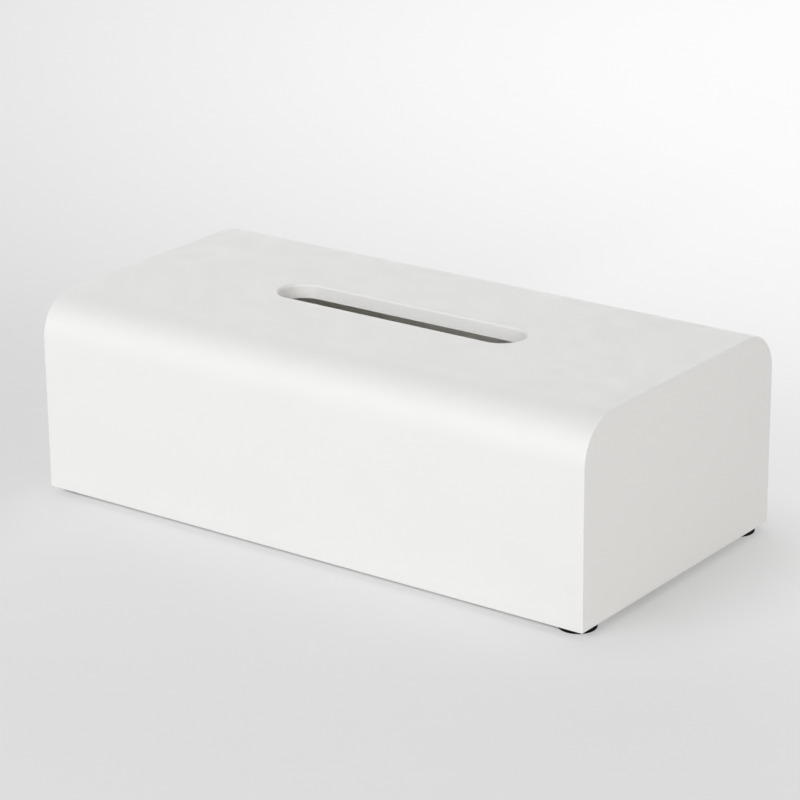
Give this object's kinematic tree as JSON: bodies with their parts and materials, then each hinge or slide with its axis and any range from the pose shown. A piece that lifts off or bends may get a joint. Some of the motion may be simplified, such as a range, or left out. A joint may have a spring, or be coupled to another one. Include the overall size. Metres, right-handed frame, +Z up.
{
  "type": "tissue box",
  "caption": "Tissue box: a plain moulded cover with rounded long edges and a long dispensing slot lifts off a flat base plate on rubber feet.",
  "frame": {"origin": "on the surface that the box stands on, at the middle of its footprint", "axes": "+X along the length, +Z up, front face towards -Y"},
  "size_m": [0.26, 0.1344, 0.084],
  "materials": {
    "cover": "white, fine matt",
    "base": "white, fine matt",
    "feet": "black, matt"
  },
  "bodies": {
    "base": {"base_plate": "base", "foot_front_left": "feet", "foot_front_right": "feet", "foot_back_left": "feet", "foot_back_right": "feet"},
    "cover": {"cover": "cover"}
  },
  "joints": [
    {"name": "cover_lift", "type": "slide", "parent": "base", "child": "cover", "axis": [0, 0, 1], "range_m": [0, 0.1]}
  ]
}
